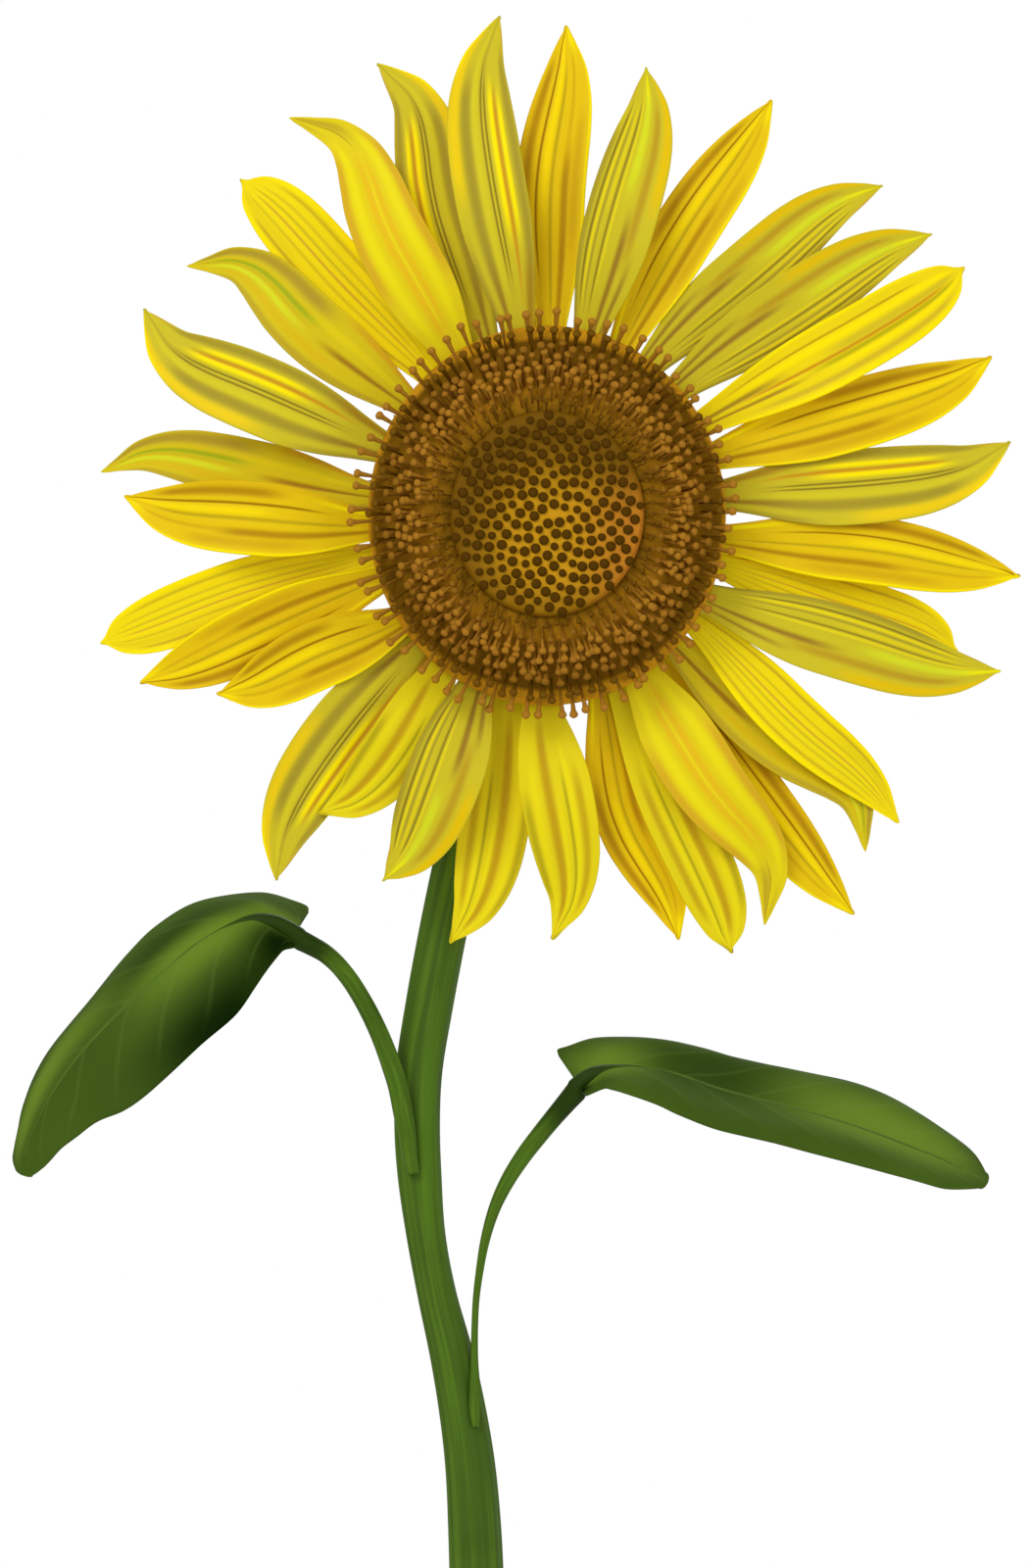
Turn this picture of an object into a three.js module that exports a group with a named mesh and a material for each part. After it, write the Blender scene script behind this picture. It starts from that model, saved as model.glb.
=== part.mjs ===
// A dwarf sunflower plant: one leaning stem cut flat at ground level, two stalked leaves and a flower head.
// Millimetres, +Z up. The origin is the middle of the flat cut, and the flower looks along -Y.
import * as THREE from "three";
import { mergeVertices } from "three/addons/utils/BufferGeometryUtils.js";

// ---- Driving dimensions ----
const gap = 0.3; // kept between pieces that meet
const headCentre = new THREE.Vector3(19.7, -34, 411.5); // middle of the disc, in the plane of its rim
const discHalfWidth = 49;
const discHalfHeight = 52;
const discRimRadius = 50.5; // the lathed disc before it is drawn out to its two half sizes
const discCoreRadius = 42.5;
const discCoreDepth = 10;
const neckDepth = 34; // from the rim plane back to the end of the stem
const neckRadius = 8.6;
const latheSteps = 36;

const rayRootRadius = 44.5;
const rayThickness = 0.9;
const rayClaw = 0.3; // width of a ray's root as a share of its widest place
const rayCup = 1.1; // how far the two edges stand forward of the middle
const rayTipLength = 1.6;
const rayTipHalf = 0.7; // half the width that a ray keeps at its tip
const rayTipThinning = 0.5; // share of its thickness that a ray loses towards its tip
const rayHollow = 1.25; // over 1, a ray widens slowly just past its root
const cup = { opens: 1.4, closes: 4 }; // higher: a ray has its full cup sooner, and loses it later
const fallVariation = 0.8; // in the front and back layers, which have room for it
const goldenTurn = 2.4; // radians, so that no two neighbours fall alike
const rayFallLength = 85; // how far out a ray has come when its tip has fallen by the whole amount
const rayRings = 10;
const ringCrowding = 1.35; // over 1, the rings of a ray lie closer together towards its tip
const bladeSides = 6;
// Rays lie in three layers, 0 at the back and 2 in front, or between two of them. Each layer has the
// height of its roots, the rise of its crests and the fall of its tips.
const rayLayers = [
  { root: -8.9, crest: 0.2, fall: 5.5 },
  { root: -6.5, crest: 2.8, fall: 5.5 },
  { root: -4.2, crest: 6.0, fall: 6.0 },
];

const bractCount = 16;
const bractHalfWidth = 6.4;
const bractThickness = 1.1;
const bractCup = 0.3; // how far the two edges of a bract stand off its middle
const bractWidest = 0.36; // where it is widest: at this share of the rest of its length
const bractBlunt = 0.8;
const bractTipShare = 0.09; // width kept at the tip, as a share of the widest place
const bractTipLength = 1.5;
const bractRings = 6;
// The middle line of a bract: its distance from the head's axis and its height above the rim plane.
const bractLine = [
  [28, -30.2],
  [38, -26],
  [46.4, -20.4],
  [50.4, -14.8],
];
const leafThickness = 0.9;
const leafTipLength = 1.2;
const leafSides = 8;
const leafRings = 16;
const leafBulge = 2.2; // how far each half of a leaf arches up between midrib and edge

const stemSides = 12;
const stemRings = 28;
const stalkSides = 8;
const stalkRings = 14;

// Stations of the stem: x, y, z and radius, from the flat cut to the back of the head.
const stemStations = [
  [0, 0, 0, 11],
  [0, 0, 14, 8.9],
  [0, 0, 45, 7.7],
  [0, 0, 85, 7.5],
  [-0.2, 0, 118, 7.6],
  [-2.3, 0, 150, 6.9],
  [-6.8, 0, 176, 6.1],
  [-13, 0, 203, 5.3],
  [-16.2, 0.5, 230, 6.2],
  [-16.4, 1.5, 254.5, 6.5],
  [-11.9, 4, 283, 6.7],
  [-5.4, 8.5, 315.5, 6.7],
  [3.8, 14.5, 354, 6.7],
  [10.8, 18.5, 378, 6.8],
  [16.4, 18.5, 395.5, 7.2],
  [19.1, 13.8, 407, 7.5],
  [19.7, 6.3, 411.5, 8],
  [19.7, gap, 411.5, neckRadius],
];

// Stations of the two leaf stalks: x, y, z and radius, from where they lie on the stem to the leaf.
const stalkStations = {
  petiole_left: [
    [-18, -9, 229, 1.7],
    [-20, -9.4, 241.5, 2.6],
    [-23, -9, 256.5, 2.8],
    [-28, -9.5, 270, 2.6],
    [-35.3, -11, 283, 2.5],
    [-41.5, -12.5, 289.8, 2.6],
    [-48.8, -14, 294, 2.9],
  ],
  petiole_right: [
    [0.5, -8.4, 157, 1.0],
    [0.2, -7.5, 165.5, 1.7],
    [0.1, -4.8, 175.5, 1.1],
    [-0.1, -3.2, 189.5, 0.95],
    [1.3, -3, 203, 1.15],
    [4.4, -3.5, 216.5, 1.6],
    [10, -4.6, 228.5, 2.2],
    [17.5, -6.4, 239, 2.5],
    [23, -8, 245.8, 2.7],
    [27.9, -9.8, 251.6, 3.1],
  ],
};

// Leaves: stations of the midrib as x, y, z, with how far the near half reaches below it and the far
// half above it. nearLean and farLean say how far each half leans to the front or back for that reach.
const leafShapes = {
  leaf_left: {
    nearLean: 0.5,
    farLean: 2.3,
    stations: [
      [-50.4, -14.4, 295.2, 4.4, 8.6],
      [-60.5, -15.5, 300.6, 15.4, 7],
      [-75.8, -17.5, 294.8, 22.2, 10],
      [-90, -19, 282.8, 22.4, 10.4],
      [-102.4, -20, 271.2, 22.4, 9],
      [-113.4, -20.5, 258.6, 19.6, 7.4],
      [-121.4, -20.5, 245.6, 11, 5.4],
      [-125.4, -20, 235.4, 6.2, 4],
      [-126.8, -19.6, 230.2, 3.6, 2.4],
    ],
  },
  leaf_right: {
    nearLean: 1.75,
    farLean: 2.0,
    stations: [
      [28.8, -10.4, 253.1, 2.8, 11.6],
      [36, -12, 258.4, 6, 8.6],
      [51.5, -14, 258.4, 9.2, 7.4],
      [68.6, -16, 252.8, 10.6, 8.4],
      [85.4, -17.5, 248.6, 10.4, 9.8],
      [102.2, -18.5, 243.9, 9.8, 10.2],
      [119, -19, 237.8, 8.8, 9],
      [131, -19, 232.4, 7.2, 6.8],
      [138.4, -19, 227.6, 3, 3],
    ],
  },
};

// Rays, clockwise from the upper left. Each row has the direction of the middle line, in degrees from +X,
// at the root, half way, near the tip and at the tip; the reach from the middle of the disc; the width;
// the layer; the roll in degrees, with the clockwise edge forward; the shape of the outline.
const rayRows = [
  [[110, 109.5, 107.5, 110.2], 135, 20, 0, 0, "pointed"],
  [[98.3, 99.9, 98.4, 95.6], 140, 20, 2, 0, "pointed"],
  [[88.8, 89.4, 87.5, 87.7], 137, 19.4, 0, 0, "pointed"],
  [[77.1, 76, 75.9, 77.4], 128, 19.4, 2, 0, "pointed"],
  [[66.5, 64.2, 62, 61.7], 132, 17.8, 0, 0, "pointed"],
  [[57, 50.4, 47.5, 44.9], 131.6, 17.8, 0, 2, "pointed"],
  [[45, 40.5, 38.4, 36.5], 133, 18.4, 1, -7, "pointed"],
  [[31, 29.5, 30, 30.8], 135.2, 18.5, 2, 0, "rounded"],
  [[20, 18.3, 18.4, 19.7], 131.5, 19.5, 1, 8, "pointed"],
  [[7.2, 5.4, 6.5, 9], 130.6, 20.8, 1, 8, "pointed"],
  [[-7.2, -6, -7, -7.1], 132.5, 19, 1, 8, "pointed"],
  [[-15.2, -16.8, -17, -17.9], 120, 17.6, 0, 2, "rounded"],
  [[-27.7, -23.4, -21.2, -19], 133, 20.2, 2, 0, "pointed"],
  [[-34.9, -39.5, -39.8, -40.9], 129.6, 16, 1.4, 9, "pointed"],
  [[-45, -44.1, -42.1, -46], 128.6, 17, 0.9, 9, "hooked"],
  [[-52.8, -53.3, -52.9, -52.3], 139.6, 17.4, 0, 0, "pointed"],
  [[-59.4, -59, -57.5, -61.5], 128.6, 20.5, 2, 0, "bellied"],
  [[-66.7, -66.3, -66.1, -66.9], 131.6, 18, 1, 5, "rounded"],
  [[-71.9, -75.4, -72.5, -72.6], 123, 17, 0, 0, "pointed"],
  [[-93, -87.6, -86.7, -89], 117.4, 19.8, 2, 0, "hooked"],
  [[-102.6, -99.8, -100.4, -102.5], 121.5, 19.2, 0, 0, "pointed"],
  [[-113, -111.4, -112, -114], 111, 20.8, 2, 0, "pointed"],
  [[-125.3, -122.4, -124.2, -127.2], 104, 18, 1.6, 12, "pointed"],
  [[-135, -133, -130, -127], 126, 20.8, 0.9, 10, "pointed"],
  [[-143.3, -148.5, -149.9, -151.5], 104, 18.6, 0.9, 10, "pointed"],
  [[-159.4, -158, -157.4, -157.8], 122, 18.2, 0.5, 10, "pointed"],
  [[-167.5, -166.4, -164.7, -164.3], 128.8, 17.6, 0, 0, "rounded"],
  [[-176.3, -179.3, -181, -182.6], 117.4, 20.2, 2, 0, "pointed"],
  [[-186.6, -189, -189, -186.1], 124.6, 17, 0, 0, "hooked"],
  [[-202.6, -202.7, -203.7, -207], 126, 21.6, 2, 0, "pointed"],
  [[141.1, 141.5, 140.5, 144.7], 122, 19, 1, 6, "hooked"],
  [[128.4, 130.9, 131.3, 132.1], 127, 19.4, 0, 0, "rounded"],
  [[118.9, 119.3, 118.1, 122.4], 132.2, 20.5, 2, 0, "bellied"],
];
const rayStops = [0, 0.5, 0.85, 1]; // where the four directions of a row are, as shares of its length

// Outlines of a ray: where it is widest, how fast it narrows to the tip, and how blunt the tip is.
const rayOutlines = {
  pointed: { belly: 0.47, narrowing: 1.6, blunt: 0.76 },
  hooked: { belly: 0.45, narrowing: 1.45, blunt: 0.85 },
  bellied: { belly: 0.36, narrowing: 1.3, blunt: 0.8 },
  rounded: { belly: 0.52, narrowing: 2.3, blunt: 0.56 },
};

// ---- Materials ----
function matt(colour, roughness) {
  return new THREE.MeshStandardMaterial({ color: colour, roughness, metalness: 0 });
}
const stemSkin = matt("#46641f", 0.6);
const stalkSkin = matt("#4f7024", 0.6);
const leafSkin = matt("#3f5a1f", 0.55);
const headBackSkin = matt("#5d7a33", 0.7);
const bractSkin = matt("#4c6b28", 0.65);
const discBrown = matt("#5a3c02", 0.85);
const floretBrown = matt("#7a4a1a", 0.8);
const budBrown = matt("#8c6210", 0.8);
const rayYellow = matt("#f0d010", 0.5);

// ---- Shapes ----
const plant = new THREE.Group();
const head = new THREE.Group(); // its x is to the right, y up and z towards the front
head.position.copy(headCentre);
head.rotation.x = Math.PI / 2;
plant.add(head);

function addMesh(group, name, geometry, material) {
  const mesh = new THREE.Mesh(geometry, material);
  mesh.name = name;
  group.add(mesh);
  return mesh;
}

/** A smooth value through stops: times from 0 to 1 and one value at each. */
function smoothly(times, values) {
  const curve = new THREE.CubicInterpolant(times, values, 1);
  return (u) => curve.evaluate(u)[0];
}

function evenStops(count) {
  return Array.from({ length: count }, (unused, i) => i / (count - 1));
}

/**
 * A closed piece made by moving the points of a capped cylinder. place gets u from 0 at the foot to 1 at
 * the tip, and x and z round the section, and says where that point goes. A flat piece has its edges at
 * x of -1 and 1. At the middle of either cap x and z are 0.
 */
function moulded(sides, rings, place) {
  const drum = new THREE.CylinderGeometry(1, 1, 1, sides, rings, false, Math.PI / 2);
  drum.deleteAttribute("normal");
  drum.deleteAttribute("uv");
  const geometry = mergeVertices(drum);
  const points = geometry.attributes.position;
  for (let i = 0; i < points.count; i += 1) {
    const x = points.getX(i);
    const z = points.getZ(i);
    const spot = place(points.getY(i) + 0.5, x, z, Math.hypot(x, z) < 0.5);
    points.setXYZ(i, spot.x, spot.y, spot.z);
  }
  return geometry;
}

/** A round tapering limb through stations of x, y, z and radius. */
function limb(stations, sides, rings, sideways) {
  const line = new THREE.CatmullRomCurve3(stations.map((row) => new THREE.Vector3(...row)));
  const radius = smoothly(evenStops(stations.length), stations.map((row) => row[3]));
  return moulded(sides, rings, (u, x, z) => {
    const tangent = line.getTangent(u);
    const across = sideways.clone().projectOnPlane(tangent).normalize();
    const normal = across.clone().cross(tangent);
    return line
      .getPoint(u)
      .addScaledVector(across, x * radius(u))
      .addScaledVector(normal, z * radius(u));
  });
}

/** Half the width of a ray at u, as a share of its widest place. */
function rayShare(u, outline) {
  if (u < outline.belly) {
    const rise = Math.sin((Math.PI / 2) * (u / outline.belly)) ** rayHollow;
    return rayClaw + (1 - rayClaw) * rise;
  }
  const past = (u - outline.belly) / (1 - outline.belly);
  return Math.cos((Math.PI / 2) * past ** outline.narrowing) ** outline.blunt;
}

/** One ray floret, in the head's own axes. */
function rayBlade([directions, reach, width, layer, roll, outlineName], index) {
  const direction = smoothly(rayStops, directions);
  const [root, crest, fall] = ["root", "crest", "fall"].map((key) => {
    const values = rayLayers.map((row) => row[key]);
    return smoothly([0, 1, 2], values)(layer);
  });
  const outline = rayOutlines[outlineName];
  const ownFall = fall + (layer % 2 ? 0 : fallVariation * Math.sin(index * goldenTurn));
  const tilt = Math.tan(THREE.MathUtils.degToRad(roll));
  const middle = (u) => {
    const turn = THREE.MathUtils.degToRad(direction(u));
    const out = rayRootRadius + u * (reach - rayTipLength - rayRootRadius);
    const past = (out - rayRootRadius) / rayFallLength;
    const lift = root + crest * Math.sin(Math.PI * u) ** 2 - ownFall * past ** 2;
    return new THREE.Vector3(out * Math.cos(turn), out * Math.sin(turn), lift);
  };
  const step = 0.01;
  return moulded(bladeSides, rayRings, (share, x, z, atCapCentre) => {
    const u = 1 - (1 - share) ** ringCrowding;
    const from = middle(Math.max(u - step, 0));
    const along = middle(Math.min(u + step, 1)).sub(from).normalize();
    const across = new THREE.Vector3(along.y, -along.x, 0).normalize();
    const half = Math.max((width / 2) * rayShare(u, outline), rayTipHalf);
    const opening = Math.sin(Math.PI * Math.min(cup.opens * u, 1) * 0.5) * (1 - u ** cup.closes);
    const lift = (tilt * x * half + rayCup * x ** 2) * opening;
    const spot = middle(u).addScaledVector(across, x * half);
    spot.z += lift + z * (rayThickness / 2) * (1 - rayTipThinning * u);
    if (atCapCentre && u > 0.5) spot.addScaledVector(along, rayTipLength);
    return spot;
  });
}

/** One bract that lies against the back of the head. */
function bractBlade(turn) {
  const line = new THREE.CatmullRomCurve3(bractLine.map(([out, up]) => new THREE.Vector3(out, 0, up)));
  const spin = new THREE.Vector3(0, 0, 1);
  const across = new THREE.Vector3(0, -1, 0);
  return moulded(bladeSides, bractRings, (u, x, z, atCapCentre) => {
    const along = line.getTangent(u);
    const normal = across.clone().cross(along);
    const narrowing = Math.cos((Math.PI / 2) * ((1 + bractWidest) * u - bractWidest)) ** bractBlunt;
    const half = bractHalfWidth * Math.max(narrowing, bractTipShare);
    const spot = line.getPoint(u).addScaledVector(across, x * half);
    spot.addScaledVector(normal, bractCup * x ** 2 + z * (bractThickness / 2));
    if (atCapCentre && u > 0.5) spot.addScaledVector(along, bractTipLength);
    return spot.applyAxisAngle(spin, turn);
  });
}

/** One leaf blade, folded at its midrib, in the plant's axes. */
function leafBlade({ stations, nearLean, farLean }) {
  const stops = evenStops(stations.length);
  const line = new THREE.CatmullRomCurve3(stations.map((row) => new THREE.Vector3(...row)));
  const near = smoothly(stops, stations.map((row) => row[3]));
  const far = smoothly(stops, stations.map((row) => row[4]));
  const side = Math.sign(stations.at(-1)[0] - stations[0][0]);
  return moulded(leafSides, leafRings, (u, x, z, atCapCentre) => {
    const along = line.getTangent(u);
    const down = new THREE.Vector3(along.z, 0, -along.x).multiplyScalar(side).normalize();
    const toNear = down.clone().multiplyScalar(near(u));
    toNear.y -= nearLean * near(u);
    const toFar = down.clone().multiplyScalar(-far(u));
    toFar.y += farLean * far(u);
    const across = toNear.clone().sub(toFar);
    const normal = across.clone().cross(along).normalize().multiplyScalar(side);
    const reach = x * side;
    const spot = line.getPoint(u).addScaledVector(reach > 0 ? toNear : toFar, Math.abs(reach));
    const arch = leafBulge * Math.sin(Math.PI * Math.abs(x)) * Math.sin(Math.PI * u);
    spot.addScaledVector(normal, arch + z * (leafThickness / 2));
    if (atCapCentre && u > 0.5) spot.addScaledVector(along, leafTipLength);
    return spot;
  });
}

/** A turned piece of the head from a profile of radius and height above the rim plane. */
function turned(profile) {
  const points = profile.map(([radius, height]) => new THREE.Vector2(radius, height));
  const geometry = new THREE.LatheGeometry(points, latheSteps);
  return geometry.rotateX(Math.PI / 2);
}

// ---- Stem, leaf stalks and leaves ----
const sidewaysX = new THREE.Vector3(1, 0, 0);
const sidewaysFront = new THREE.Vector3(0, -1, 0);
addMesh(plant, "stem", limb(stemStations, stemSides, stemRings, sidewaysX), stemSkin);
for (const [name, stations] of Object.entries(stalkStations)) {
  addMesh(plant, name, limb(stations, stalkSides, stalkRings, sidewaysFront), stalkSkin);
}
for (const [name, shape] of Object.entries(leafShapes)) {
  addMesh(plant, name, leafBlade(shape), leafSkin);
}

// ---- Flower head ----
const receptacleProfile = [
  [0, -neckDepth],
  [neckRadius, -neckDepth],
  [13, -32],
  [22, -29.6],
  [32, -26],
  [40, -21.5],
  [45.5, -16.5],
  [47.6, -12.8],
  [47, -(discCoreDepth + gap)],
  [0, -(discCoreDepth + gap)],
];
const discProfile = [
  [0, -discCoreDepth],
  [discCoreRadius, -discCoreDepth],
  [discCoreRadius, -2.6],
  [discRimRadius - 0.6, -1.8],
  [discRimRadius, 0.4],
  [47.5, 4],
  [42, 7.6],
  [34, 10],
  [25, 10.8],
  [12, 9],
  [0, 8],
];
const floretProfile = [
  [27.5, 11.1],
  [34.2, 10.4],
  [42.2, 8],
  [47.8, 4.4],
  [51, 0.9],
  [55.4, 0.6],
  [56, 2.6],
  [53, 7],
  [48, 11.6],
  [40, 15],
  [31, 16.4],
  [27.5, 14.8],
  [27.5, 11.1],
];
const budProfile = [
  [0, 8 + gap],
  [12, 9 + gap],
  [25, 10.8 + gap],
  [27.1, 11.1],
  [27.1, 13.6],
  [24, 14.6],
  [13, 12.6],
  [0, 11.6],
];
addMesh(head, "receptacle", turned(receptacleProfile), headBackSkin);
for (const [name, profile, skin] of [
  ["disc", discProfile, discBrown],
  ["floret_ring", floretProfile, floretBrown],
  ["bud_cushion", budProfile, budBrown],
]) {
  const piece = addMesh(head, name, turned(profile), skin);
  piece.scale.set(discHalfWidth / discRimRadius, discHalfHeight / discRimRadius, 1);
}
rayRows.forEach((row, index) => {
  const name = `ray_${String(index).padStart(2, "0")}`;
  addMesh(head, name, rayBlade(row, index), rayYellow);
});
for (let i = 0; i < bractCount; i += 1) {
  const turn = ((i + 0.5) / bractCount) * 2 * Math.PI;
  addMesh(head, `bract_${String(i).padStart(2, "0")}`, bractBlade(turn), bractSkin);
}

export default plant;
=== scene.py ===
import math

import bmesh
import bpy
import numpy as np
from mathutils import Matrix, Vector


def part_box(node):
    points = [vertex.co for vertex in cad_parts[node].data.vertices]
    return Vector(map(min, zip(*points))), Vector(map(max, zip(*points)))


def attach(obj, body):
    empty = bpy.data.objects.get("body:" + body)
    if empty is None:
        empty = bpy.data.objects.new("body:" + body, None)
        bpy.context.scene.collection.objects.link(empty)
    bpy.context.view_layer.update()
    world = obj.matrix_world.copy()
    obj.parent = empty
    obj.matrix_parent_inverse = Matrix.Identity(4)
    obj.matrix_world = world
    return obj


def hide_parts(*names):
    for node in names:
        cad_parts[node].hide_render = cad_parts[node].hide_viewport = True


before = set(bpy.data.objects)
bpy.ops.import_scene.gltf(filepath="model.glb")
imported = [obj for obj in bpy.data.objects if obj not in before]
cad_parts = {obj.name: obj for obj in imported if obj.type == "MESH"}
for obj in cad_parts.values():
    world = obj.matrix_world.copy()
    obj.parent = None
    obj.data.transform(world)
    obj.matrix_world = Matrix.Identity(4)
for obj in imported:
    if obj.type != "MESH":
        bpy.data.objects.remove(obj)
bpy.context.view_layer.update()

scene = bpy.context.scene

# ---- Camera ----
# A long lens level with the middle of the plant, square to the flower, as for a botanical plate.
HEAD_LOW, HEAD_HIGH = (Vector(corner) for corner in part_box("disc"))
HEAD = (HEAD_LOW + HEAD_HIGH) / 2  # the middle of the disc of florets
DISC_DEPTH = 0.010  # of the disc's core, behind its rim
RIM_PLANE = HEAD_HIGH.y - DISC_DEPTH
FRAME_TALL = 0.432
LENS = 0.150
SENSOR = 0.036
AIM = Vector((HEAD.x - 0.0088, RIM_PLANE, HEAD.z - 0.074))
camera_data = bpy.data.cameras.new("camera")
camera_data.lens = LENS * 1000
camera_data.sensor_width = SENSOR * 1000
camera_data.clip_start = 0.05
camera = bpy.data.objects.new("camera", camera_data)
camera.location = AIM - Vector((0, FRAME_TALL * LENS / SENSOR, 0))
camera.rotation_euler = (math.pi / 2, 0, 0)
scene.collection.objects.link(camera)
scene.camera = camera

# ---- Studio ----
# White surroundings, a pale round table top that the stem stands on, a large soft key light from the
# upper left and a weaker one from the right.
scene.view_settings.view_transform = "Standard"
world = bpy.data.worlds.new("white_room")
scene.world = world
world.use_nodes = True
sky = world.node_tree
sky.nodes.clear()
white_seen = sky.nodes.new("ShaderNodeBackground")
white_seen.inputs["Color"].default_value = (1, 1, 1, 1)
soft_fill = sky.nodes.new("ShaderNodeBackground")
soft_fill.inputs["Color"].default_value = (1, 1, 1, 1)
soft_fill.inputs["Strength"].default_value = 0.60
light_path = sky.nodes.new("ShaderNodeLightPath")
either = sky.nodes.new("ShaderNodeMixShader")
sky_output = sky.nodes.new("ShaderNodeOutputWorld")
sky.links.new(light_path.outputs["Is Camera Ray"], either.inputs["Fac"])
sky.links.new(soft_fill.outputs["Background"], either.inputs[1])
sky.links.new(white_seen.outputs["Background"], either.inputs[2])
sky.links.new(either.outputs["Shader"], sky_output.inputs["Surface"])

for name, offset, size, power in (
    ("key", (-0.9, -1.7, 1.1), 1.0, 20),
    ("fill", (1.3, -1.4, 0.2), 1.2, 6),
    ("back", (0.3, 1.6, 0.9), 1.2, 12),
):
    lamp = bpy.data.lights.new(name, "AREA")
    lamp.size = size
    lamp.energy = power
    light = bpy.data.objects.new(name, lamp)
    light.location = AIM + Vector(offset)
    light.rotation_euler = (-Vector(offset)).to_track_quat("-Z", "Y").to_euler()
    scene.collection.objects.link(light)

FLOOR_RADIUS = 0.42
floor_form = bmesh.new()
bmesh.ops.create_circle(floor_form, cap_ends=True, segments=96, radius=FLOOR_RADIUS)
floor_mesh = bpy.data.meshes.new("floor")
floor_form.to_mesh(floor_mesh)
floor_form.free()
floor = bpy.data.objects.new("floor", floor_mesh)
scene.collection.objects.link(floor)
floor_paint = bpy.data.materials.new("floor_paint")
floor_paint.use_nodes = True
floor_paint.node_tree.nodes["Principled BSDF"].inputs["Base Color"].default_value = (0.86, 0.86, 0.85, 1)
floor_paint.node_tree.nodes["Principled BSDF"].inputs["Roughness"].default_value = 0.8
floor_mesh.materials.append(floor_paint)

# ---- Stem ----
# The real stem is a stiff green shoot with shallow ribs, thickest at its foot and under the head. It
# grows from the ground by its flat cut and carries everything else.


class Shade:
    """One socket of a material. Arithmetic on it adds Math nodes."""

    def __init__(self, tree, socket=None):
        self.tree = tree
        self.socket = socket

    def make(self, kind, settings=None, values=None, output=0):
        """Adds a node: first its settings, then the value or link of each of its sockets."""
        node = self.tree.nodes.new("ShaderNode" + kind)
        for name, setting in (settings or {}).items():
            if name == "stops":
                ramp = node.color_ramp
                while len(ramp.elements) < len(setting):
                    ramp.elements.new(0.5)
                for element, (place, colour) in zip(ramp.elements, setting):
                    element.position = place
                    element.color = colour
            else:
                setattr(node, name, setting)
        for name, value in (values or {}).items():
            if isinstance(value, Shade):
                self.tree.links.new(value.socket, node.inputs[name])
            else:
                node.inputs[name].default_value = value
        return Shade(self.tree, node.outputs[output])

    def maths(self, operation, first, second=0.0, third=0.0):
        return self.make("Math", {"operation": operation}, {0: first, 1: second, 2: third})

    def __add__(self, other):
        return self.maths("ADD", self, other)

    __radd__ = __add__

    def __sub__(self, other):
        return self.maths("SUBTRACT", self, other)

    def __rsub__(self, other):
        return self.maths("SUBTRACT", other, self)

    def __mul__(self, other):
        return self.maths("MULTIPLY", self, other)

    __rmul__ = __mul__

    def __truediv__(self, other):
        return self.maths("DIVIDE", self, other)

    def __pow__(self, other):
        return self.maths("POWER", self, other)

    def size(self):
        return self.maths("ABSOLUTE", self)

    def wave(self):
        return self.maths("SINE", self)

    def ramp(self, start, end):
        """0 before start, 1 past end and smooth between them; end may be the smaller one."""
        values = {"Value": self, "From Min": start, "From Max": end}
        return self.make("MapRange", {"interpolation_type": "SMOOTHERSTEP"}, values)

    def tint(self, low, high):
        """A colour between two: low where this is 0 and high where it is 1."""
        return self.make("Mix", {"data_type": "RGBA"}, {0: self, 6: low, 7: high}, output=2)

    def part(self, name):
        names = {"x": 0, "y": 1, "z": 2}
        return self.make("SeparateXYZ", None, {0: self}, output=names[name])


def hue(red, green, blue):
    """A colour as a screen shows it, from 0 to 255, in the renderer's own linear values."""
    shares = (value / 255 for value in (red, green, blue))
    return tuple(s / 12.92 if s < 0.04045 else ((s + 0.055) / 1.055) ** 2.4 for s in shares) + (1.0,)


def finish_material(name, roughness=0.5, sheen=0.0):
    """A new material: its name, the Shade that makes nodes in it, and its main shader."""
    material = bpy.data.materials.new(name)
    material.use_nodes = True
    body = material.node_tree.nodes["Principled BSDF"]
    body.inputs["Roughness"].default_value = roughness
    body.inputs["Sheen Weight"].default_value = sheen
    body.inputs["Specular IOR Level"].default_value = 0.08
    return material, Shade(material.node_tree), body


def feed(body, name, shade):
    shade.tree.links.new(shade.socket, body.inputs[name])


def roughen(pen, body, strength, distance, height):
    """A fine relief in the skin: how strong it is, how deep, and its height over the surface."""
    values = {"Strength": strength, "Distance": distance, "Height": height}
    feed(body, "Normal", pen.make("Bump", None, values))


def along_across(pen):
    """The piece's own map: how far along it and how far across or round it, each from 0 to 1."""
    place = pen.make("UVMap", {"uv_map": "grain"})
    return place.part("x"), place.part("y")


def walked_rings(node, sides, foot):
    """The rings of points of a limb or blade of the frame, from its foot to its tip, and its tip point."""
    form = bmesh.new()
    form.from_mesh(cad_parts[node].data)
    bmesh.ops.remove_doubles(form, verts=form.verts, dist=1e-6)
    for start in sorted(form.verts, key=lambda vert: (vert.co - foot).length):
        rings = [[start]]
        seen = {start}
        while rings[-1]:
            ring = {edge.other_vert(vert) for vert in rings[-1] for edge in vert.link_edges} - seen
            seen |= ring
            rings.append(sorted(ring, key=lambda vert: vert.index))
        rings.pop()
        if len(rings[-1]) == 1 and all(len(ring) == sides for ring in rings[1:-1]):
            break
    found = np.array([[vert.co[:] for vert in ring] for ring in rings[1:-1]])
    tip = np.array(rings[-1][0].co)
    form.free()
    return found, tip


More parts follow.
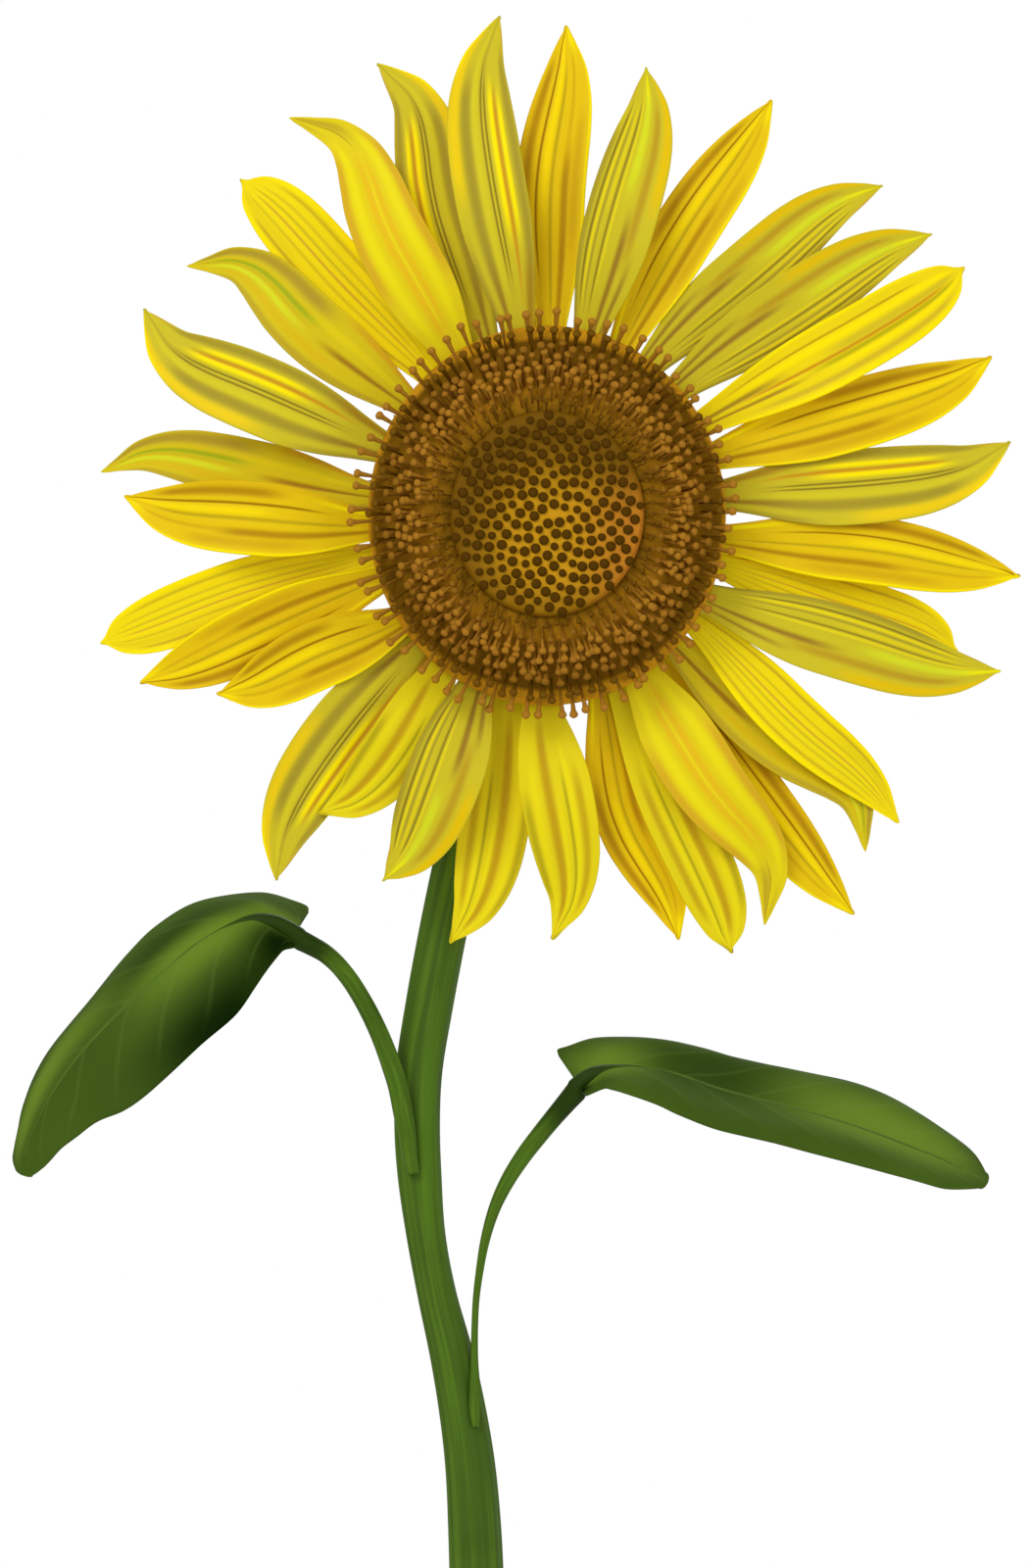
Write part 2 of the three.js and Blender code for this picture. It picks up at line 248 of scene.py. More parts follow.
def ring_order(rings, reference):
    """The same rings, each ordered by angle round its middle, starting at the reference direction."""
    middles = rings.mean(axis=1)
    ways = np.gradient(middles, axis=0)
    last_way = ways[0]
    ordered = []
    for ring, middle, way in zip(rings, middles, ways):
        if np.linalg.norm(way) < 1e-6:
            way = last_way
        way = way / np.linalg.norm(way)
        if len(ring) == LATHE_SIDES and np.dot(way, last_way) < 0:
            way = -way  # a turned piece comes back on itself, and keeps its way round
        last_way = way
        first = np.array(reference) - np.dot(reference, way) * way
        first /= np.linalg.norm(first)
        second = np.cross(way, first)
        offsets = ring - middle
        angles = np.arctan2(offsets @ second, offsets @ first)
        ordered.append(ring[np.argsort(np.mod(angles + 0.1, 2 * math.pi))])
    return np.array(ordered)


def smooth_row(rows, places):
    """Points on the smooth curves through rows, at places counted in rows. Works along the first axis."""
    count = len(rows)
    places = np.asarray(places, float)
    base = np.clip(np.floor(places).astype(int), 0, count - 2)
    start, end = rows[base], rows[base + 1]
    before = np.where(expand(base > 0, rows), rows[np.maximum(base - 1, 0)], 2 * start - end)
    inner = base + 2 < count
    after = np.where(expand(inner, rows), rows[np.minimum(base + 2, count - 1)], 2 * end - start)
    t = expand(places - base, rows)
    bend = 2 * before - 5 * start + 4 * end - after
    twist = -before + 3 * start - 3 * end + after
    return 0.5 * (2 * start + (end - before) * t + bend * t**2 + twist * t**3)


def expand(values, rows):
    return np.reshape(values, values.shape + (1,) * (rows.ndim - 1))


def tube_point(rings):
    """A function of along and round, both 0 to 1, that gives the points of a closed tube through rings."""

    def place(along, around):
        laid = smooth_row(rings, along * (len(rings) - 1))  # one ring of points for each place
        sides = rings.shape[1]
        turned = np.mod(around, 1.0) * sides
        base = np.floor(turned).astype(int)
        t = (turned - base)[:, None]
        pick = [laid[np.arange(len(laid)), (base + step) % sides] for step in (-1, 0, 1, 2)]
        before, start, end, after = pick
        bend = 2 * before - 5 * start + 4 * end - after
        twist = -before + 3 * start - 3 * end + after
        return 0.5 * (2 * start + (end - before) * t + bend * t**2 + twist * t**3)

    return place


def laid_grid(along_steps, across_steps, place):
    """A bmesh grid whose points lie where place(along, across) says. It keeps those as its map."""
    form = bmesh.new()
    form.loops.layers.uv.new("grain")
    bmesh.ops.create_grid(form, x_segments=along_steps, y_segments=across_steps, size=0.5)
    flat = np.array([vert.co[:2] for vert in form.verts]) + 0.5
    grain = form.loops.layers.uv["grain"]
    for face in form.faces:
        for loop in face.loops:
            loop[grain].uv = loop.vert.co.xy + Vector((0.5, 0.5))
    for vert, spot in zip(form.verts, place(flat[:, 0], flat[:, 1])):
        vert.co = spot
    return form


def put_piece(name, form, material, replaced):
    """Makes the finished piece from its bmesh, rides it on the plant and hides the part of the frame that it
    replaces.
    """
    mesh = bpy.data.meshes.new(name)
    form.to_mesh(mesh)
    form.free()
    for face in mesh.polygons:
        face.use_smooth = True
    mesh.materials.append(material)
    piece = bpy.data.objects.new(name, mesh)
    scene.collection.objects.link(piece)
    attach(piece, "root")
    if replaced:
        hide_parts(replaced)
    return piece


def face_outwards(form):
    """Turns the faces of a closed form outwards. Its signed volume settles it where the shape is folded."""
    bmesh.ops.recalc_face_normals(form, faces=form.faces)
    if form.calc_volume(signed=True) < 0:
        bmesh.ops.reverse_faces(form, faces=form.faces)


def closed_tube(along_steps, around_steps, place):
    """A laid grid joined where it comes round, with both ends closed."""
    form = laid_grid(along_steps, around_steps, place)
    bmesh.ops.remove_doubles(form, verts=form.verts, dist=1e-7)
    open_edges = [edge for edge in form.edges if edge.is_boundary]
    bmesh.ops.holes_fill(form, edges=open_edges, sides=0)
    face_outwards(form)
    return form


def stem_skin(name, light, middle, dark, ribs, painted_shade_span=None):
    """Green skin with fine lengthwise streaks, and painted shade where it runs up under the head. Painted
    shade also darkens it between the two shares of its length given by the last argument, where that is
    given."""
    material, pen, body = finish_material(name, roughness=0.55)
    along, around = along_across(pen)
    spot = pen.make("CombineXYZ", None, {0: along * 5, 1: around * ribs * 2, 2: 0.0})
    streak = pen.make("TexNoise", None, {"Vector": spot, "Scale": 1.0, "Detail": 3.0})
    blotch = pen.make("TexNoise", None, {"Vector": pen.make("TexCoord", output=3), "Scale": 28.0})
    colour = streak.ramp(0.35, 0.7).tint(middle, light)
    colour = (blotch.ramp(0.5, 0.85) * 0.5).tint(colour, dark)
    # Painted shade under the head: the skin darkens above this height.
    shaded = pen.make("TexCoord", output=3).part("z").ramp(0.300, 0.352)
    colour = (shaded * 0.85).tint(colour, hue(38, 58, 8))
    # Painted shade over a stretch of the length, by a leaf's joint.
    if painted_shade_span:
        colour = (along.ramp(*painted_shade_span) * 0.85).tint(colour, hue(24, 44, 0))
    feed(body, "Base Color", colour)
    rib = (around * (2 * math.pi * ribs)).wave() * 0.5 + streak
    roughen(pen, body, 0.25, 0.0006, rib)
    return material


GREEN_LIGHT = hue(84, 118, 26)
GREEN_MIDDLE = hue(66, 94, 24)
GREEN_DARK = hue(44, 64, 14)
LATHE_SIDES = 36
END_FLARE = 1.22  # the stem widens where it runs into the back of the head
END_SINK = 0.0015
stem_rings, _ = walked_rings("stem", 12, Vector((0, 0, 0)))
stem_rings = ring_order(stem_rings, (1, 0, 0))
stem_end_middle = stem_rings[-1].mean(axis=0)
stem_rings[-1] = stem_end_middle + (stem_rings[-1] - stem_end_middle) * END_FLARE
stem_rings[-1, :, 1] -= END_SINK
stem_surface = tube_point(stem_rings)
STEM_RIBS = 9
STEM_RIB_DEPTH = 0.022  # as a share of the stem's radius
STEM_UNEVEN = 0.012


def ribbed_stem(along, around):
    spots = stem_surface(along, around)
    middles = smooth_row(stem_rings.mean(axis=1), along * (len(stem_rings) - 1))
    outwards = spots - middles
    depth = STEM_RIB_DEPTH * np.cos(2 * math.pi * STEM_RIBS * around)
    depth += STEM_UNEVEN * np.sin(2 * math.pi * 3 * around + 5 * along)
    spots = middles + outwards * (1 + depth * np.minimum(1, 12 * along))[:, None]
    spots[along < 1e-6, 2] = 0.0
    return spots


stem_material = stem_skin("stem_skin", GREEN_LIGHT, GREEN_MIDDLE, GREEN_DARK, STEM_RIBS)
put_piece("stem_shoot", closed_tube(220, 72, ribbed_stem), stem_material, "stem")

# ---- Leaf stalks ----
# Two slender stalks run down onto the stem and join it in a long clasping foot. Each widens a little
# where it enters its leaf.
# The stalks get painted shade over their last stretch, where they enter the leaf.
stalk_material = stem_skin("stalk_skin", hue(86, 120, 26), hue(70, 100, 22), hue(44, 66, 10), 5, (0.72, 0.94))
STALK_SINK = {"petiole_left": 0.0022, "petiole_right": 0.0016}
stalk_middles = {}
stalk_widths = {}
for node, sink in STALK_SINK.items():
    low, high = (Vector(corner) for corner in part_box(node))
    foot_x = high.x if node == "petiole_left" else low.x
    rings, _ = walked_rings(node, 8, Vector((foot_x, low.y, low.z)))
    rings = ring_order(rings, (0, -1, 0))
    middles = rings.mean(axis=1)
    stem_middles = stem_rings.mean(axis=1)
    share = np.linspace(0, 1, len(rings))
    for i, middle in enumerate(middles):
        nearest = stem_middles[np.argmin(np.linalg.norm(stem_middles - middle, axis=1))]
        inward = nearest - middle
        inward /= np.linalg.norm(inward)
        rings[i] += inward * sink * max(0.0, 1 - 2.6 * share[i])
    stalk_middles[node] = middles
    stalk_widths[node] = np.linalg.norm(rings - middles[:, None], axis=2).mean(axis=1)
    form = closed_tube(90, 28, tube_point(rings))
    put_piece(node + "_stalk", form, stalk_material, node)

# ---- Leaves ----
# Each leaf is a thin, smooth, dark green blade folded lightly at its midrib, with side veins that curve
# towards the edge. Its stalk runs on into the midrib.


def blade_rows(node, sides, foot, across_hint):
    """The middle surface of a thin blade: for each ring its points across, from one edge to the other."""
    rings, tip = walked_rings(node, sides, foot)
    rows = []
    for ring in rings:
        gaps = np.linalg.norm(ring[:, None] - ring[None], axis=2)
        first, second = np.unravel_index(np.argmax(gaps), gaps.shape)
        reach = ring[second] - ring[first]
        if rows:
            hint = rows[-1][-1] - rows[-1][0]
        else:
            hint = np.array(across_hint)
        if np.dot(reach, hint) < 0:
            reach = -reach
        order = np.argsort(ring @ reach)
        ring = ring[order]
        inner = ring[1:-1].reshape(-1, 2, 3).mean(axis=1)
        rows.append(np.concatenate([ring[:1], inner, ring[-1:]]))
    rows.append(np.repeat(tip[None], len(rows[0]), axis=0))
    return np.array(rows)


def blade_point(rows, stations, round_tip=False):
    """A function of along and across, both 0 to 1, for the middle surface through rows. stations are the
    places across, from -1 to 1, of a row's points."""
    powers = np.vander(np.array(stations), len(stations), increasing=True)
    shares = np.linalg.inv(powers)

    def place(along, across):
        laid = smooth_row(rows, along * (len(rows) - 1))
        if round_tip:
            past = np.clip(along * (len(rows) - 1) - (len(rows) - 2), 0, 1)[:, None, None]
            middle = rows[-2].mean(axis=0) * (1 - past) + rows[-1] * past
            rounded = middle + (rows[-2] - rows[-2].mean(axis=0)) * np.sqrt(1 - past**2)
            laid = np.where(past > 0, rounded, laid)
        v = 2 * across - 1
        weights = np.vander(v, len(stations), increasing=True) @ shares
        return np.einsum("nk,nkc->nc", weights, laid)

    return place


def surface_normals(place, along, across):
    """Which way the front of the surface looks at each point, found from its neighbours."""
    step = 0.004
    along = np.clip(along, step, 0.99 - step)
    ahead = place(along + step, across) - place(along - step, across)
    aside = place(along, np.minimum(across + step, 1)) - place(along, np.maximum(across - step, 0))
    facing = np.cross(aside, ahead)
    facing *= -1 if facing[:, 1].mean() > 0 else 1
    length = np.linalg.norm(facing, axis=1, keepdims=True)
    return facing / np.maximum(length, 1e-12)


def thickened(form, thickness):
    """The thin blade made a closed one, by a second skin on one side of the first."""
    bmesh.ops.remove_doubles(form, verts=form.verts, dist=1e-7)
    bmesh.ops.recalc_face_normals(form, faces=form.faces)
    bmesh.ops.solidify(form, geom=form.faces[:], thickness=thickness)
    face_outwards(form)
    return form


def soft_step(values, start, end):
    """The smooth step of a material's ramp, for numbers: 0 at start and 1 at end."""
    t = np.clip((values - start) / (end - start), 0, 1)
    return t**3 * (t * (6 * t - 15) + 10)


def leaf_skin(name, painted_patches):
    """Satin green with soft patches of painted light and painted shade, and pale veins that hardly show."""
    material, pen, body = finish_material(name, roughness=0.75)
    body.inputs["Specular IOR Level"].default_value = 0.03
    along, across = along_across(pen)
    side = across * 2 - 1
    reach = side.size()
    spot = pen.make("TexCoord", output=3)
    cloud = pen.make("TexNoise", None, {"Vector": spot, "Scale": 30.0, "Detail": 2.0})
    fine = pen.make("TexNoise", None, {"Vector": spot, "Scale": 900.0, "Detail": 2.0})
    colour = cloud.ramp(0.3, 0.75).tint(LEAF_DUSKY, LEAF_GREEN)
    # Painted light and painted shade, laid on in soft patches.
    for place, half_length, middle, half_width, strength, painted_colour in painted_patches:
        lengthwise = (along - place).size().ramp(half_length, 0.0)
        sideways = (side - middle).size().ramp(half_width, 0.0)
        colour = (lengthwise * sideways * strength).tint(colour, painted_colour)
    swept = (along * VEINS - reach * VEIN_SWEEP) * (2 * math.pi)
    vein = swept.wave().ramp(0.86, 1.0) * reach.ramp(1.0, 0.5)
    colour = (vein * 0.10).tint(colour, LEAF_VEIN)
    colour = (reach.ramp(0.06, 0.0) * 0.15).tint(colour, LEAF_VEIN)
    feed(body, "Base Color", colour)
    roughen(pen, body, 0.2, 0.0003, fine + vein)
    return material


LEAF_STATIONS = (-1, -math.sqrt(0.5), 0, math.sqrt(0.5), 1)
LEAF_GREEN = hue(72, 97, 28)
LEAF_DUSKY = hue(63, 86, 24)
# Painted light and painted shade for the leaves' patches.
LEAF_PAINTED_LIGHT = hue(103, 131, 38)
LEAF_PAINTED_SHADE = hue(45, 66, 14)
LEAF_PAINTED_DEEP_SHADE = hue(12, 32, 0)
LEAF_VEIN = hue(112, 138, 60)
LEAF_THICKNESS = 0.0005
LEAF_GRID = (120, 48)
VEINS = 8
VEIN_SWEEP = 1.6
NEAR_EASED = 5  # the lower edge of the left leaf swings out from the stalk over this many rows
EASE_DROP = np.array((0, 0, -0.0030))  # from the midrib to where that swing starts
EASE_LEAVING = np.array((-0.0055, 0, 0.0008))  # the pull on the swing where it starts
EASE_ARRIVING = np.array((0.0068, 0, 0.0058))  # and where it meets the leaf's own edge
EASE_IN_DEPTH = 0.7
LEFT_LOWER_SHIFT = np.array((0.0013, 0, -0.0008))  # of the left leaf's lower edge near the tip
LEFT_TIP_SHIFT = np.array((0.0010, 0, -0.0002))
RIGHT_TIP_SHIFTS = (0.0006, 0.0030)  # of the right leaf's last rows, from the first of them to the tip
TIP_NARROWED = 0.74
BASE_ROUNDED = 0.03  # the share of the length that rounds the far corner of the base
BASE_DRAWN_IN = 0.20
QUILTING = 0.00012  # how far the skin swells between the side veins
CREASE_DEPTH = 0.0005
CREASE_WIDTH = 0.05
EDGE_WAVE = 0.0006
RIB_RADIUS = 0.0021
RIB_LEAST = 0.0003
RIB_END = 0.86  # the share of the leaf's length that the rib runs along
RIB_STEPS = 14
RIB_SIDES = 12
# Each painted patch of light or shade has its place along and its half length, its place across from the near
# edge at -1 to the far edge at 1 and its half width, the strength and the colour.
LEAF_PAINTED_PATCHES = {
    "leaf_left": (
        (0.30, 0.26, 0.42, 0.60, 0.8, LEAF_PAINTED_SHADE),
        (0.24, 0.26, -0.05, 0.55, 1.0, LEAF_PAINTED_LIGHT),
        (0.04, 0.18, 0.20, 0.50, 0.9, LEAF_PAINTED_LIGHT),
        (0.66, 0.36, 0.42, 0.50, 1.0, LEAF_PAINTED_LIGHT),
        (0.30, 0.32, -1.00, 0.75, 1.0, LEAF_PAINTED_DEEP_SHADE),
        (0.07, 0.17, -0.70, 0.95, 1.0, LEAF_PAINTED_DEEP_SHADE),
    ),
    "leaf_right": (
        (0.34, 0.26, 0.35, 1.00, 0.9, LEAF_PAINTED_SHADE),
        (0.10, 0.18, 0.15, 0.90, 1.0, LEAF_PAINTED_LIGHT),
        (0.68, 0.36, 0.15, 1.00, 1.0, LEAF_PAINTED_LIGHT),
        (0.00, 0.06, -0.30, 0.80, 1.0, LEAF_PAINTED_DEEP_SHADE),
    ),
}
# The rib gets painted shade over its first stretch, by the stalk.
rib_material = stem_skin("midrib", hue(88, 120, 30), hue(70, 98, 22), hue(48, 70, 14), 5, (0.5, 0.25))
for node, joint in (("leaf_left", "petiole_left"), ("leaf_right", "petiole_right")):
    low, high = (Vector(corner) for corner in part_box(node))
    joint_low, joint_high = (Vector(corner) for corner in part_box(joint))
    side = -1 if node == "leaf_left" else 1
    foot = Vector((joint_low.x if side < 0 else joint_high.x, (joint_low.y + low.y) / 2, joint_high.z))
    rows = blade_rows(node, 8, foot, (0, 1, 1))
    if node == "leaf_left":
        joined = rows[0, 2] + EASE_DROP
        outer = rows[NEAR_EASED, 0].copy()
        pulls = (joined, joined + EASE_LEAVING, outer + EASE_ARRIVING, outer)
        for i in range(NEAR_EASED):
            t = i / NEAR_EASED
            weights = ((1 - t) ** 3, 3 * t * (1 - t) ** 2, 3 * t**2 * (1 - t), t**3)
            eased = sum(weight * pull for weight, pull in zip(weights, pulls))
            rows[i, 1] += (eased - rows[i, 0]) * EASE_IN_DEPTH
            rows[i, 0] = eased
        rows[-6:-1, 0] += LEFT_LOWER_SHIFT
        rows[-1] += LEFT_TIP_SHIFT
    else:
        rows[-5:, :, 0] += np.linspace(*RIGHT_TIP_SHIFTS, 5)[:, None]
    end_middle = rows[-2].mean(axis=0)
    rows[-2] = end_middle + (rows[-2] - end_middle) * TIP_NARROWED
    smooth_leaf = blade_point(rows, LEAF_STATIONS, round_tip=True)

    def veined_leaf(along, across, base=smooth_leaf):
        corner = 1 - np.sqrt(1 - (1 - np.clip(along / BASE_ROUNDED, 0, 1)) ** 2)
        across = across - np.maximum(across - 0.5, 0) * BASE_DRAWN_IN * corner
        spots = base(along, across)
        facing = surface_normals(base, along, across)
        v = np.abs(2 * across - 1)
        ends = soft_step(along, 0.0, 0.15) * soft_step(along, 0.95, 0.8)
        quilting = QUILTING * np.sin(2 * math.pi * (VEINS * along - VEIN_SWEEP * v)) * v * (1 - v) * 4
        crease = -CREASE_DEPTH * np.exp(-((v / CREASE_WIDTH) ** 2))
        wave = EDGE_WAVE * np.sin(2 * math.pi * 3 * along + 2 * across) * v**3
        return spots + facing * ((quilting + crease + wave) * ends)[:, None]

    material = leaf_skin(node, LEAF_PAINTED_PATCHES[node])
    form = laid_grid(*LEAF_GRID, veined_leaf)
    put_piece(node + "_blade", thickened(form, LEAF_THICKNESS), material, node)

    # The stalk runs on as a rib that sinks through the blade and follows its back to near the tip.
    shares = np.linspace(0.0, RIB_END, RIB_STEPS)
    line = smooth_leaf(shares, np.full(RIB_STEPS, 0.5))
    facing = surface_normals(smooth_leaf, shares, np.full(RIB_STEPS, 0.5))
    thick = RIB_RADIUS * (1 - shares) ** 1.2 + RIB_LEAST
    stand = 0.3 - 1.5 * soft_step(shares, 0.0, 0.2)
    line = line + facing * (thick * stand)[:, None]
    line = np.concatenate([stalk_middles[joint][-3:], line])
    thick = np.concatenate([stalk_widths[joint][-3:] * np.array((0.90, 0.95, 1.0)), thick])
    ways = np.gradient(line, axis=0)
    ways /= np.linalg.norm(ways, axis=1, keepdims=True)
    first = np.cross(ways, (0.0, 0.0, 1.0))
    first /= np.linalg.norm(first, axis=1, keepdims=True)
    second = np.cross(ways, first)
    angles = np.arange(RIB_SIDES) * (2 * math.pi / RIB_SIDES)
    ring = np.cos(angles)[None, :, None] * first[:, None] + np.sin(angles)[None, :, None] * second[:, None]
    rib_rings = line[:, None] + ring * thick[:, None, None]
    put_piece(node + "_rib", closed_tube(80, 20, tube_point(rib_rings)), rib_material, None)

# ---- Back of the head ----
# The green receptacle is the swollen end of the stem, a shallow cup with soft ribs. It carries the bracts,
# the rays and the disc.


def head_back_skin():
    material, pen, body = finish_material("head_back", roughness=0.65, sheen=0.2)
    along, around = along_across(pen)
    rib = (around * (2 * math.pi * 32)).wave()
    spot = pen.make("TexCoord", output=3)
    fine = pen.make("TexNoise", None, {"Vector": spot, "Scale": 500.0, "Detail": 3.0})
    colour = (rib * 0.25 + fine).ramp(0.2, 0.9).tint(hue(70, 100, 34), hue(112, 142, 62))
    feed(body, "Base Color", colour)
    roughen(pen, body, 0.4, 0.0006, rib * 0.5 + fine)
    return material


back_rings, _ = walked_rings("receptacle", LATHE_SIDES, Vector((HEAD.x, 0, HEAD.z)))
back_rings = ring_order(back_rings, (1, 0, 0))
form = closed_tube(60, 144, tube_point(back_rings))
put_piece("head_back", form, head_back_skin(), "receptacle")

# ---- Bracts ----
# Two rows of green pointed bracts lie over the receptacle like tiles. The upper row is that of the frame
# and the lower row fills the gaps between them.


def bract_skin():
    material, pen, body = finish_material("bract", roughness=0.6)
    along, across = along_across(pen)
    line = (across * (2 * math.pi * 7)).wave()
    middle = (across * 2 - 1).size().ramp(0.25, 0.0)
    colour = (line * 0.2 + along).ramp(0.0, 1.1).tint(hue(60, 90, 30), hue(96, 126, 48))
    colour = (middle * 0.4).tint(colour, hue(130, 155, 80))
    feed(body, "Base Color", colour)
    roughen(pen, body, 0.3, 0.0004, line)
    return material


def head_blade_rows(node, radius, depth_share):
    """The rows of a blade of the head, whose foot is this far from the head's middle and this deep in it."""
    low, high = (Vector(corner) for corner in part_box(node))
    middle = (low + high) / 2
    outward = Vector((middle.x - HEAD.x, 0, middle.z - HEAD.z)).normalized()
    foot = HEAD + outward * radius
    foot.y = low.y + (high.y - low.y) * depth_share
    clockwise = (outward.z, 0, -outward.x)
    return blade_rows(node, 6, foot, clockwise)


BLADE_STATIONS = (-1, -0.5, 0.5, 1)
bract_material = bract_skin()
LOWER_REACH = 0.80  # how far the lower row is from the head's middle, as a share of the upper row
LOWER_BACK = 0.0034
BRACT_THICKNESS = 0.0007
BRACT_GRID = (28, 14)
BRACT_FOOT = 0.028  # how far from the head's middle the bracts start
HALF_STEP = math.pi / 16
bract_nodes = sorted(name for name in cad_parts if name.startswith("bract_"))
for node in bract_nodes:
    rows = head_blade_rows(node, BRACT_FOOT, 1.0)
    upper = blade_point(rows, BLADE_STATIONS)
    form = thickened(laid_grid(*BRACT_GRID, upper), BRACT_THICKNESS)
    put_piece(node + "_scale", form, bract_material, node)

    def lower(along, across, base=upper):
        spots = base(along, across) - np.array((HEAD.x, 0, HEAD.z))
        right, up = spots[:, 0] * LOWER_REACH, spots[:, 2] * LOWER_REACH
        turned_right = right * math.cos(HALF_STEP) - up * math.sin(HALF_STEP)
        turned_up = right * math.sin(HALF_STEP) + up * math.cos(HALF_STEP)
        back = spots[:, 1] + LOWER_BACK
        return np.stack([turned_right + HEAD.x, back, turned_up + HEAD.z], axis=1)

    form = thickened(laid_grid(*BRACT_GRID, lower), BRACT_THICKNESS)
    put_piece(node.replace("bract", "lower_bract"), form, bract_material, None)

# ---- Disc ----
# The ground of the disc, which the florets stand on: golden in the middle, dark towards the rim.


def disc_ground():
    material, pen, body = finish_material("disc_ground", roughness=0.8)
    spot = pen.make("TexCoord", output=3)
    centre = pen.make("VectorMath", {"operation": "SUBTRACT"}, {0: spot, 1: tuple(HEAD)})
    right, up = centre.part("x"), centre.part("z")
    out = (right * right + up * up) ** 0.5 / 0.050
    stops = (
        (0.0, hue(196, 142, 16)),
        (0.25, hue(160, 112, 12)),
        (0.5, hue(112, 78, 2)),
        (0.68, hue(186, 130, 20)),
        (0.82, hue(140, 96, 6)),
        (0.955, hue(116, 80, 0)),
        (0.982, hue(200, 142, 20)),
    )
    colour = pen.make("ValToRGB", {"stops": stops}, {0: out})
    speck = pen.make("TexNoise", None, {"Vector": spot, "Scale": 260.0, "Detail": 3.0})
    colour = (speck.ramp(0.45, 0.75) * 0.5).tint(colour, hue(88, 58, 2))
    wall = (spot.part("y") - RIM_PLANE).ramp(0.0008, 0.0040)
    colour = (wall * 0.85).tint(colour, hue(112, 104, 30))
    feed(body, "Base Color", colour)
    roughen(pen, body, 0.5, 0.0008, speck)
    return material


disc_rings, _ = walked_rings("disc", LATHE_SIDES, Vector((HEAD.x, RIM_PLANE + DISC_DEPTH, HEAD.z)))
disc_rings = ring_order(disc_rings, (1, 0, 0))
disc_surface = tube_point(disc_rings)
form = closed_tube(60, 144, disc_surface)
put_piece("disc_ground", form, disc_ground(), "disc")

# ---- Closed florets ----
# In the middle of the disc the florets are still shut. They stand as dark pegs in a golden mat, in the
# spirals that a growing head makes, and a few of them are smaller.
GOLDEN_ANGLE = math.pi * (3 - math.sqrt(5))
HALF_WIDTH = (HEAD_HIGH.x - HEAD_LOW.x) / 2
HALF_HEIGHT = (HEAD_HIGH.z - HEAD_LOW.z) / 2
RIM_RADIUS = (HALF_WIDTH + HALF_HEIGHT) / 2
BUD_ZONE = 0.0268
BUD_SPACING = 0.00187  # the nth bud from the middle stands at this times the square root of n
BUD_PROUD = 0.0011  # how far the buds stand out of the mat
BUD_RADIUS = 0.00138
BUD_RADIUS_SMALL = 0.00108
BUD_DEPTH = 0.0030
BUD_SIDES = 12
SMALL_BUD_SHARE = 0.27
# Each pair is a radius and a height, of a bud one unit wide and deep.
BUD_PROFILE = ((0.9, -1.0), (1.0, -0.3), (0.97, -0.12), (0.78, 0.0), (0.3, 0.04))


def head_point(radius, turn, front):
    """A point on the head: so far from its middle, in this direction, and so far in front of the rim."""
    right = radius / RIM_RADIUS * HALF_WIDTH * math.cos(turn)
    up = radius / RIM_RADIUS * HALF_HEIGHT * math.sin(turn)
    return Vector((HEAD.x + right, RIM_PLANE - front, HEAD.z + up))


def front_height(rings):
    """For the front face of a turned piece: a function of radius that gives how far forward it stands."""
    radii = np.ptp(rings[:, :, 0], axis=1) / 2 / HALF_WIDTH * RIM_RADIUS
    fronts = RIM_PLANE - rings[:, :, 1].mean(axis=1)
    widest = int(np.argmax(radii))
    halves = (slice(None, widest + 1), slice(widest, None))
    half = max(halves, key=lambda half: fronts[half].mean())
    order = np.argsort(radii[half])
    return lambda radius: float(np.interp(radius, radii[half][order], fronts[half][order]))


def turned_template(name, sides, profile):
    """A small closed mesh of few faces, spun about Z from pairs of a radius and a height."""
    form = bmesh.new()
    ends = ((0.0, profile[0][1]), (0.0, profile[-1][1]))
    line = [form.verts.new((radius, 0, height)) for radius, height in (ends[0], *profile, ends[1])]
    edges = [form.edges.new(pair) for pair in zip(line, line[1:])]
    turn = {"axis": (0, 0, 1), "cent": (0, 0, 0), "angle": 2 * math.pi}
    bmesh.ops.spin(form, geom=line + edges, steps=sides, use_merge=True, **turn)
    bmesh.ops.remove_doubles(form, verts=form.verts, dist=1e-6)
    bmesh.ops.recalc_face_normals(form, faces=form.faces)
    mesh = bpy.data.meshes.new(name)
    form.to_mesh(mesh)
    form.free()
    return mesh


def planted(template, places):
    """A bmesh with one copy of the template for each matrix of places."""
    form = bmesh.new()
    for place in places:
        copy = template.copy()
        copy.transform(place)
        form.from_mesh(copy)
        bpy.data.meshes.remove(copy)
    return form


def floret_skin(name, colour):
    """Dry matt brown with a fine grain."""
    material, pen, body = finish_material(name, roughness=0.75)
    body.inputs["Specular IOR Level"].default_value = 0.06
    body.inputs["Base Color"].default_value = colour
    grain = pen.make("TexNoise", None, {"Vector": pen.make("TexCoord", output=3), "Scale": 1800.0})
    roughen(pen, body, 0.2, 0.0002, grain)
    return material


def mat_skin():
    """Gold in the middle, orange to the right and brown towards the edge."""
    material, pen, body = finish_material("bud_mat", roughness=0.7)
    spot = pen.make("TexCoord", output=3)
    middle = HEAD + Vector((0.002, 0, -0.006))
    offset = pen.make("VectorMath", {"operation": "SUBTRACT"}, {0: spot, 1: tuple(middle)})
    right, up = offset.part("x"), offset.part("z")
    out = (right * right + up * up) ** 0.5
    colour = out.ramp(0.006, 0.030).tint(hue(208, 152, 18), hue(116, 80, 2))
    warm = right.ramp(0.0, 0.024) * (up + 0.004).size().ramp(0.026, 0.006)
    colour = (warm * 0.85).tint(colour, hue(200, 126, 32))
    grain = pen.make("TexNoise", None, {"Vector": spot, "Scale": 700.0, "Detail": 3.0})
    colour = (grain.ramp(0.5, 0.8) * 0.25).tint(colour, hue(130, 92, 6))
    feed(body, "Base Color", colour)
    roughen(pen, body, 0.4, 0.0004, grain)
    return material


